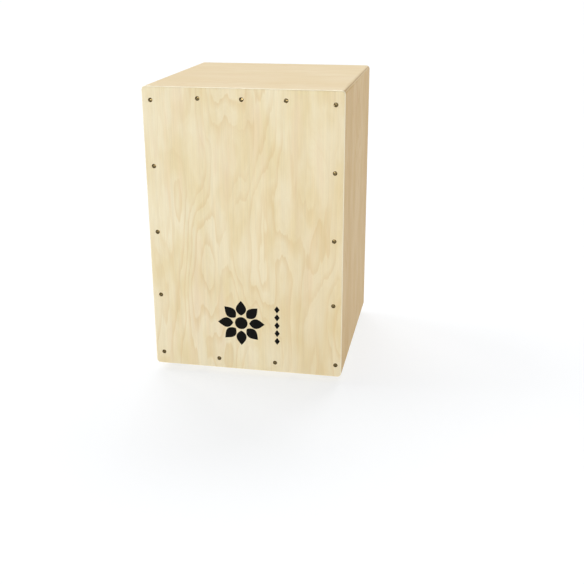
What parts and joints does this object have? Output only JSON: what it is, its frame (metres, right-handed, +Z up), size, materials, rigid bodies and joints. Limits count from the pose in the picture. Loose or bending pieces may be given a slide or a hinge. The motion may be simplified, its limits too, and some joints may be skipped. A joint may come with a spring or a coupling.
{
  "type": "cajon",
  "caption": "Box drum to sit on: a thin wooden playing face screwed to the front, a round sound hole in the back, and snare strings inside tensioned from below.",
  "frame": {"origin": "on the floor under the centre of the box, between the four feet", "axes": "+Z up, -Y out of the playing face towards the player's legs, +X to the right seen from the front"},
  "size_m": [0.305, 0.315, 0.462],
  "materials": {
    "playing_face": "satin lacquered rotary-cut birch veneer",
    "box_plywood": "satin lacquered birch plywood",
    "back_plywood": "satin lacquered birch plywood",
    "batten": "planed bare pine",
    "string_wire": "bronze-wound guitar string with a brass ball end",
    "zinc_steel": "zinc-plated steel",
    "black_steel": "black-oxide alloy steel",
    "bronzed_steel": "dark bronzed steel",
    "foot_rubber": "moulded black rubber"
  },
  "bodies": {
    "box": {"tapa": "playing_face", "top_panel": "box_plywood", "bottom_panel": "box_plywood", "left_panel": "box_plywood", "right_panel": "box_plywood", "back_panel": "back_plywood", "front_batten_top": "batten", "front_batten_bottom": "batten", "front_batten_left": "batten", "front_batten_right": "batten", "string_bar_top": "batten", "string_bar_bottom": "batten", "string_outer_left": "string_wire", "string_inner_left": "string_wire", "string_inner_right": "string_wire", "string_outer_right": "string_wire", "tension_bracket_left": "zinc_steel", "tension_bracket_right": "zinc_steel", "tension_washers": "zinc_steel", "bracket_screws": "zinc_steel", "tapa_screws": "bronzed_steel", "foot_front_left": "foot_rubber", "foot_front_right": "foot_rubber", "foot_back_left": "foot_rubber", "foot_back_right": "foot_rubber", "foot_washers": "zinc_steel", "foot_screws": "zinc_steel"},
    "left_screw": {"tension_screw_left": "black_steel"},
    "right_screw": {"tension_screw_right": "black_steel"},
    "left_slider": {"tension_slider_left": "zinc_steel"},
    "right_slider": {"tension_slider_right": "zinc_steel"}
  },
  "joints": [
    {"name": "left_screw_turn", "type": "hinge", "parent": "box", "child": "left_screw", "pos_m": [-0.075, -0.146, 0.018], "axis": [0, 0, 1], "range_deg": [-2701, 1801]},
    {"name": "right_screw_turn", "type": "hinge", "parent": "box", "child": "right_screw", "pos_m": [0.075, -0.146, 0.018], "axis": [0, 0, 1], "range_deg": [-2701, 1801]},
    {"name": "left_slider_travel", "type": "slide", "parent": "box", "child": "left_slider", "axis": [0, 0, 1], "range_m": [-0.004, 0.006], "deforming": ["string_outer_left", "string_inner_left"]},
    {"name": "right_slider_travel", "type": "slide", "parent": "box", "child": "right_slider", "axis": [0, 0, 1], "range_m": [-0.004, 0.006], "deforming": ["string_inner_right", "string_outer_right"]}
  ],
  "couplings": [
    {"joint": "left_screw_turn", "follows": "left_slider_travel", "rad_per_m": -7854},
    {"joint": "right_screw_turn", "follows": "right_slider_travel", "rad_per_m": -7854}
  ]
}
